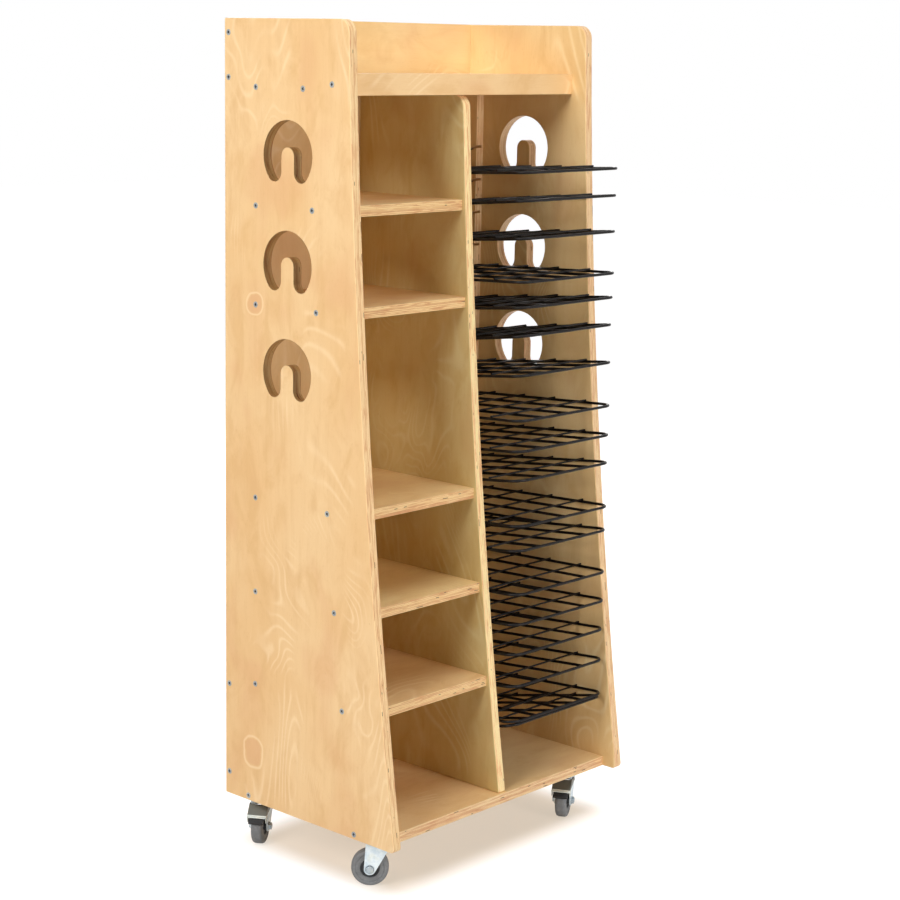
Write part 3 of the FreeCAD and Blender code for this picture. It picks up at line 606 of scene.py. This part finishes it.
def screw_mesh(length):
    """Countersunk cross-head screw whose face looks up Z from the panel at Z 0."""
    mesh = bmesh.new()
    neck = -HEAD_SINK - (HEAD_RADIUS - SHANK_RADIUS)
    outlines = (
        ring(HEAD_RADIUS * FACE_SHARE, HEAD_PROUD),
        ring(HEAD_RADIUS, HEAD_PROUD * RIM_SHARE),
        ring(HEAD_RADIUS, -HEAD_SINK),
        ring(SHANK_RADIUS, neck),
        ring(SHANK_RADIUS, -length + 2 * SHANK_RADIUS),
        ring(SHANK_RADIUS * POINT_SHARE, -length),
    )
    rings = [[mesh.verts.new(place) for place in outline] for outline in outlines]
    for upper, lower in zip(rings, rings[1:]):
        for step in range(SIDES):
            after = (step + 1) % SIDES
            mesh.faces.new((upper[step], lower[step], lower[after], upper[after]))
    mesh.faces.new(list(reversed(rings[-1])))
    foot_reach = RECESS_REACH * FOOT_REACH_SHARE
    foot_width = RECESS_WIDTH * FOOT_WIDTH_SHARE
    mouth_places = cross(RECESS_REACH, RECESS_WIDTH, HEAD_PROUD)
    foot_places = cross(foot_reach, foot_width, HEAD_PROUD - RECESS_DEPTH)
    mouth = [mesh.verts.new(place) for place in mouth_places]
    foot = [mesh.verts.new(place) for place in foot_places]
    for step in range(len(mouth)):
        after = (step + 1) % len(mouth)
        mesh.faces.new((mouth[step], mouth[after], foot[after], foot[step]))
    mesh.faces.new(foot)
    rims = [mesh.edges.get((loop[step - 1], loop[step]))
            for loop in (rings[0], mouth) for step in range(len(loop))]
    bmesh.ops.triangle_fill(mesh, edges=rims, use_beauty=True)
    bmesh.ops.recalc_face_normals(mesh, faces=mesh.faces)
    return mesh


def carcass_screws():
    """The CAD's carcass screws once more, with larger heads that have a cross recess."""
    corners = []
    faces = []
    for number, places in enumerate(islands(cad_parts["carcass_screws"].data)):
        face, looks, length = screw_pose(places)
        turn = looks.to_track_quat("Z", "Y") @ Quaternion((0, 0, 1), number * TURN)
        surface = face + looks * HEAD_SINK
        shape = screw_mesh(length)
        shape.verts.index_update()
        start = len(corners)
        corners.extend(surface + turn @ vert.co for vert in shape.verts)
        faces.extend([start + vert.index for vert in facet.verts] for facet in shape.faces)
        shape.free()
    mesh = bpy.data.meshes.new("carcass_screw_heads")
    mesh.from_pydata(corners, [], faces)
    mesh.shade_smooth()
    mesh.set_sharp_from_angle(angle=SHARP)
    mesh.materials.append(ZINC_SCREW)
    piece = bpy.data.objects.new("carcass_screw_set", mesh)
    bpy.context.scene.collection.objects.link(piece)
    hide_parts("carcass_screws")
    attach(piece, "frame")


carcass_screws()


# ---------------------------------------------------------------- stage, light and camera

SKY = (0.96, 0.98, 1.0, 1.0)
AMBIENT = 0.04              # strength of the sky's light
FLOOR_REACH = 14.0
FLOOR_LIT = (0.86, 0.85, 0.84, 1.0)     # floor as it lights the object
FLOOR_SEEN = (0.30, 0.25, 0.21, 1.0)    # floor as it takes the lamps' light, for the camera; darker and warmer than FLOOR_LIT, which with the pool paints the shadow's tone
PAINTED_SHADOW_POOL = (0.56, 0.50, 0.42, 1.0)          # painted shadow: darker floor under the object, a glow added over that light
PAINTED_SHADOW_INSET = 0.060          # of the painted shadow's full shade inside the object's plan
PAINTED_SHADOW_FADE = 0.085           # width over which the painted shadow turns white

LAMP_AIM = Vector((0, 0, 0.7))
# name, place, width of the disk, watts
LAMPS = (
    ("key", (-3.5, -0.4, 2.8), 2.0, 118),
    ("front", (0.1, -3.5, 1.3), 1.2, 58),
    ("top", (0.3, -0.9, 4.2), 2.4, 54),
    ("rear", (2.2, 3.0, 2.0), 2.4, 95),
)

CAMERA_PLACE = (-2.6527, -2.4552, 1.3995)
CAMERA_YAW = 0.832          # radians, from +Y towards +X
CAMERA_PITCH = -0.192
CAMERA_ROLL = 0.019
SENSOR_WIDTH = 36           # millimetres, as the lens
LENS = 83.455


def seen_only(tree, lit, seen):
    """Shader that camera, glossy and transmission rays see apart from the light it gives."""
    path = tree.nodes.new("ShaderNodeLightPath")
    direct = path.outputs["Is Camera Ray"]
    for kind in ("Is Glossy Ray", "Is Transmission Ray"):
        either = tree.nodes.new("ShaderNodeMath")
        either.operation = "MAXIMUM"
        tree.links.new(direct, either.inputs[0])
        tree.links.new(path.outputs[kind], either.inputs[1])
        direct = either.outputs[0]
    blend = tree.nodes.new("ShaderNodeMixShader")
    tree.links.new(direct, blend.inputs[0])
    tree.links.new(lit, blend.inputs[1])
    tree.links.new(seen, blend.inputs[2])
    return blend.outputs[0]


def make_world():
    world = bpy.data.worlds.new("studio")
    world.use_nodes = True
    tree = world.node_tree
    soft = tree.nodes["Background"]
    soft.inputs["Color"].default_value = SKY
    soft.inputs["Strength"].default_value = AMBIENT
    white = tree.nodes.new("ShaderNodeBackground")
    white.inputs["Color"].default_value = WHITE
    white.inputs["Strength"].default_value = 1.0
    out = tree.nodes["World Output"]
    tree.links.new(seen_only(tree, soft.outputs[0], white.outputs[0]), out.inputs["Surface"])
    bpy.context.scene.world = world


def floor_material():
    """White floor that keeps the object's shadow, with a soft painted shadow under the object: a
    darker glow that turns white away from it.
    """
    n = Nodes("floor_paper")
    n.fix({"Base Color": FLOOR_LIT, "Roughness": 0.9, "Specular IOR Level": 0.1})
    seen = n.add("ShaderNodeBsdfDiffuse")
    seen.inputs["Color"].default_value = FLOOR_SEEN
    glow = n.add("ShaderNodeEmission")
    place = n.split(n.place)
    outside = []
    for axis in (0, 1):
        beyond = n.minus(n.size(place[axis]), cad_box[1][axis] - PAINTED_SHADOW_INSET)
        outside.append(n.math("MAXIMUM", beyond, 0.0))
    away = n.math("SQRT", n.plus(n.power(outside[0], 2.0), n.power(outside[1], 2.0)))
    # painted shadow: the glow has the pool's colour under the object and turns white beyond it
    n.put(n.mix(n.remap(away, 0.0, PAINTED_SHADOW_FADE), PAINTED_SHADOW_POOL, WHITE), glow.inputs["Color"])
    both = n.add("ShaderNodeAddShader")
    n.put(seen.outputs[0], both.inputs[0])
    n.put(glow.outputs[0], both.inputs[1])
    out = n.tree.nodes["Material Output"]
    n.put(seen_only(n.tree, n.shader.outputs[0], both.outputs[0]), out.inputs["Surface"])
    return n.material


def make_floor():
    mesh = bpy.data.meshes.new("floor")
    corners = [(x * FLOOR_REACH, y * FLOOR_REACH, 0)
               for x, y in ((-1, -1), (1, -1), (1, 1), (-1, 1))]
    mesh.from_pydata(corners, [], [(0, 1, 2, 3)])
    mesh.materials.append(floor_material())
    floor = bpy.data.objects.new("floor", mesh)
    bpy.context.scene.collection.objects.link(floor)


def area_light(name, place, width, power):
    data = bpy.data.lights.new(name, "AREA")
    data.shape = "DISK"
    data.size = width
    data.energy = power
    lamp = bpy.data.objects.new(name, data)
    lamp.location = place
    lamp.rotation_euler = (LAMP_AIM - Vector(place)).to_track_quat("-Z", "Y").to_euler()
    bpy.context.scene.collection.objects.link(lamp)


def make_camera():
    ahead = Vector((math.sin(CAMERA_YAW) * math.cos(CAMERA_PITCH),
                    math.cos(CAMERA_YAW) * math.cos(CAMERA_PITCH),
                    math.sin(CAMERA_PITCH)))
    right = Vector((math.cos(CAMERA_YAW), -math.sin(CAMERA_YAW), 0))
    up = right.cross(ahead)
    rolled_right = math.cos(CAMERA_ROLL) * right + math.sin(CAMERA_ROLL) * up
    rolled_up = math.cos(CAMERA_ROLL) * up - math.sin(CAMERA_ROLL) * right
    data = bpy.data.cameras.new("camera")
    data.sensor_fit = "HORIZONTAL"
    data.sensor_width = SENSOR_WIDTH
    data.lens = LENS
    camera = bpy.data.objects.new("camera", data)
    turn = Matrix((rolled_right, rolled_up, -ahead)).transposed().to_4x4()
    camera.matrix_world = Matrix.Translation(CAMERA_PLACE) @ turn
    bpy.context.scene.collection.objects.link(camera)
    bpy.context.scene.camera = camera


make_world()
make_floor()
for lamp_settings in LAMPS:
    area_light(*lamp_settings)
make_camera()
bpy.context.scene.view_settings.view_transform = "Standard"
